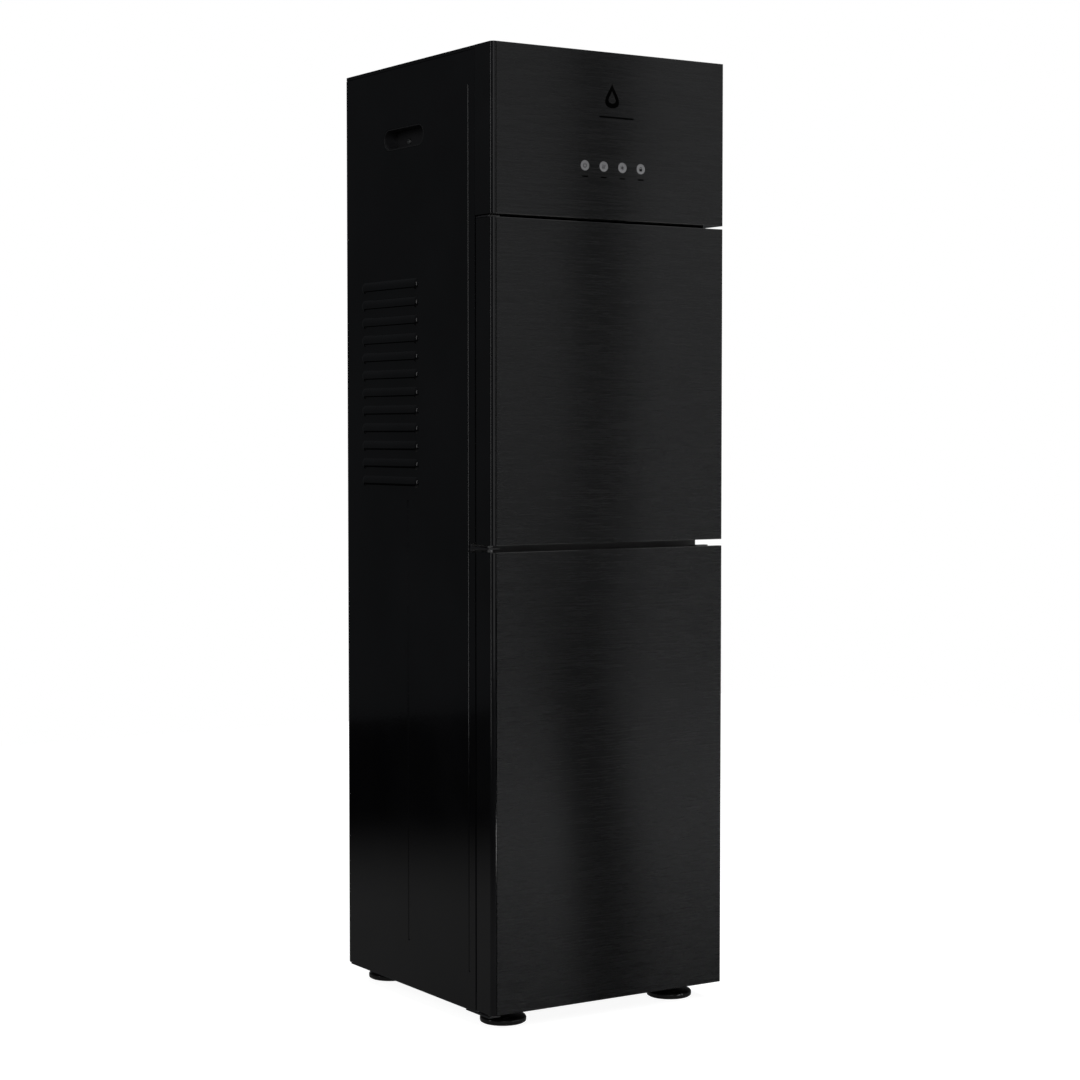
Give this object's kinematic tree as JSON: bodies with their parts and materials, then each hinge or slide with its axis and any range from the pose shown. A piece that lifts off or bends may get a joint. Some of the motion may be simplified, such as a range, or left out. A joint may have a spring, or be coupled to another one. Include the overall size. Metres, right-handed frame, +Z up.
{
  "type": "bottom-loading water dispenser",
  "caption": "Tall black floor-standing water dispenser with a bottle cabinet below, a closed dispensing bay above it and push-buttons on a brushed fascia.",
  "frame": {"origin": "centre of the footprint on the floor, under the levelling feet", "axes": "+Z up, -Y out of the front (doors and fascia), +X to the right for someone facing the front"},
  "size_m": [0.315, 0.33, 1.075],
  "materials": {
    "gloss_black_panel": "mirror-gloss black enamel on sheet steel",
    "gloss_black_plastic": "polished black ABS",
    "brushed_black_steel": "fine horizontal brushing, black tinted",
    "satin_black_plastic": "fine spark-eroded texture",
    "dark_sheet": "satin black powder coat",
    "zinc_sheet": "zinc-coated sheet with faint spangle",
    "zinc_fastener": "bright zinc plate",
    "liner_plastic": "semi-gloss charcoal moulding",
    "tray_plastic": "grained grey polypropylene",
    "button_plastic": "grey translucent cap",
    "black_rubber": "soft extruded rubber",
    "foot_plastic": "glossy moulded disc",
    "stainless": "drawn stainless steel",
    "tap_chrome": "plated tap bodies",
    "copper": "drawn copper tube",
    "silicone": "milky food-grade silicone",
    "foam": "beaded white foam",
    "board_green": "solder-masked circuit board",
    "magnet": "nickel-coated magnet",
    "red_plastic": "moulded red",
    "blue_plastic": "moulded blue",
    "white_plastic": "moulded off-white",
    "green_plastic": "moulded green"
  },
  "bodies": {
    "cabinet": {"side_panel_left": "gloss_black_panel", "side_panel_right": "gloss_black_panel", "side_grips": "satin_black_plastic", "back_panel_lower": "dark_sheet", "back_panel_upper": "dark_sheet", "top_cover": "gloss_black_panel", "base_pan": "dark_sheet", "front_frame": "satin_black_plastic", "mid_deck": "zinc_sheet", "upper_deck": "zinc_sheet", "bottle_tray": "tray_plastic", "fascia_body": "gloss_black_plastic", "fascia_skin": "brushed_black_steel", "control_board": "board_green", "hinge_brackets": "dark_sheet", "hinge_pins": "zinc_fastener", "bay_liner": "liner_plastic", "taps": "tap_chrome", "water_tubes": "silicone", "pump": "satin_black_plastic", "compressor": "dark_sheet", "compressor_mounts": "black_rubber", "condenser": "dark_sheet", "filter_drier": "copper", "cold_tank": "stainless", "evaporator_coil": "copper", "tank_insulation": "foam", "hot_tank": "stainless", "power_board": "board_green", "switch_housing": "satin_black_plastic", "cable_gland": "satin_black_plastic", "drain_plug": "silicone", "foot_nuts": "zinc_fastener", "cabinet_screws": "zinc_fastener", "probe_holder": "satin_black_plastic", "door_magnets": "magnet", "probe_hose": "silicone"},
    "middle_door": {"middle_door_body": "gloss_black_plastic", "middle_door_skin": "brushed_black_steel", "middle_door_gasket": "black_rubber"},
    "lower_door": {"lower_door_body": "gloss_black_plastic", "lower_door_skin": "brushed_black_steel", "lower_door_gasket": "black_rubber"},
    "drip_tray": {"drip_tray": "liner_plastic"},
    "drip_grille": {"drip_grille": "stainless"},
    "probe": {"probe_cap": "blue_plastic", "probe_tube": "stainless"},
    "button_power": {"button_power": "button_plastic"},
    "button_hot": {"button_hot": "button_plastic"},
    "button_cold": {"button_cold": "button_plastic"},
    "button_lock": {"button_lock": "button_plastic"},
    "tap_lever_hot": {"tap_lever_hot": "red_plastic"},
    "tap_lever_ambient": {"tap_lever_ambient": "white_plastic"},
    "tap_lever_cold": {"tap_lever_cold": "blue_plastic"},
    "rocker_hot": {"rocker_hot": "red_plastic"},
    "rocker_cold": {"rocker_cold": "green_plastic"},
    "foot_front_left": {"foot_front_left": "foot_plastic"},
    "foot_front_right": {"foot_front_right": "foot_plastic"},
    "foot_rear_left": {"foot_rear_left": "foot_plastic"},
    "foot_rear_right": {"foot_rear_right": "foot_plastic"}
  },
  "joints": [
    {"name": "middle_door_hinge", "type": "hinge", "parent": "cabinet", "child": "middle_door", "pos_m": [-0.147, -0.147, 0.71], "axis": [0, 0, -1], "range_deg": [0, 110]},
    {"name": "lower_door_hinge", "type": "hinge", "parent": "cabinet", "child": "lower_door", "pos_m": [-0.147, -0.147, 0.27], "axis": [0, 0, -1], "range_deg": [0, 110]},
    {"name": "button_power_press", "type": "slide", "parent": "cabinet", "child": "button_power", "axis": [0, 1, 0], "range_m": [0, 0.0012], "stiffness_N_per_m": 400, "springref_m": -0.0005},
    {"name": "button_hot_press", "type": "slide", "parent": "cabinet", "child": "button_hot", "axis": [0, 1, 0], "range_m": [0, 0.0012], "stiffness_N_per_m": 400, "springref_m": -0.0005},
    {"name": "button_cold_press", "type": "slide", "parent": "cabinet", "child": "button_cold", "axis": [0, 1, 0], "range_m": [0, 0.0012], "stiffness_N_per_m": 400, "springref_m": -0.0005},
    {"name": "button_lock_press", "type": "slide", "parent": "cabinet", "child": "button_lock", "axis": [0, 1, 0], "range_m": [0, 0.0012], "stiffness_N_per_m": 400, "springref_m": -0.0005},
    {"name": "tap_lever_hot_push", "type": "hinge", "parent": "cabinet", "child": "tap_lever_hot", "pos_m": [0.062, -0.058, 0.834], "axis": [1, 0, 0], "range_deg": [0, 14], "stiffness_Nm_per_rad": 0.15, "springref_deg": -5.73},
    {"name": "tap_lever_ambient_push", "type": "hinge", "parent": "cabinet", "child": "tap_lever_ambient", "pos_m": [0, -0.058, 0.834], "axis": [1, 0, 0], "range_deg": [0, 14], "stiffness_Nm_per_rad": 0.15, "springref_deg": -5.73},
    {"name": "tap_lever_cold_push", "type": "hinge", "parent": "cabinet", "child": "tap_lever_cold", "pos_m": [-0.062, -0.058, 0.834], "axis": [1, 0, 0], "range_deg": [0, 14], "stiffness_Nm_per_rad": 0.15, "springref_deg": -5.73},
    {"name": "drip_tray_lift", "type": "slide", "parent": "cabinet", "child": "drip_tray", "axis": [0, 0, 1], "range_m": [0, 0.03]},
    {"name": "drip_grille_lift", "type": "slide", "parent": "drip_tray", "child": "drip_grille", "axis": [0, 0, 1], "range_m": [0, 0.05]},
    {"name": "probe_lift", "type": "slide", "parent": "cabinet", "child": "probe", "axis": [0, 0, 1], "range_m": [0, 0.01], "deforming": ["probe_hose"]},
    {"name": "rocker_hot_tilt", "type": "hinge", "parent": "cabinet", "child": "rocker_hot", "pos_m": [-0.034, 0.144, 1.034], "axis": [-1, 0, 0], "range_deg": [0, 16]},
    {"name": "rocker_cold_tilt", "type": "hinge", "parent": "cabinet", "child": "rocker_cold", "pos_m": [-0.01, 0.144, 1.034], "axis": [-1, 0, 0], "range_deg": [0, 16]},
    {"name": "foot_front_left_turn", "type": "hinge", "parent": "cabinet", "child": "foot_front_left", "pos_m": [-0.114, -0.12, 0.01], "axis": [0, 0, 1], "continuous": true},
    {"name": "foot_rear_left_turn", "type": "hinge", "parent": "cabinet", "child": "foot_rear_left", "pos_m": [-0.114, 0.136, 0.01], "axis": [0, 0, 1], "continuous": true},
    {"name": "foot_front_right_turn", "type": "hinge", "parent": "cabinet", "child": "foot_front_right", "pos_m": [0.114, -0.12, 0.01], "axis": [0, 0, 1], "continuous": true},
    {"name": "foot_rear_right_turn", "type": "hinge", "parent": "cabinet", "child": "foot_rear_right", "pos_m": [0.114, 0.136, 0.01], "axis": [0, 0, 1], "continuous": true}
  ]
}
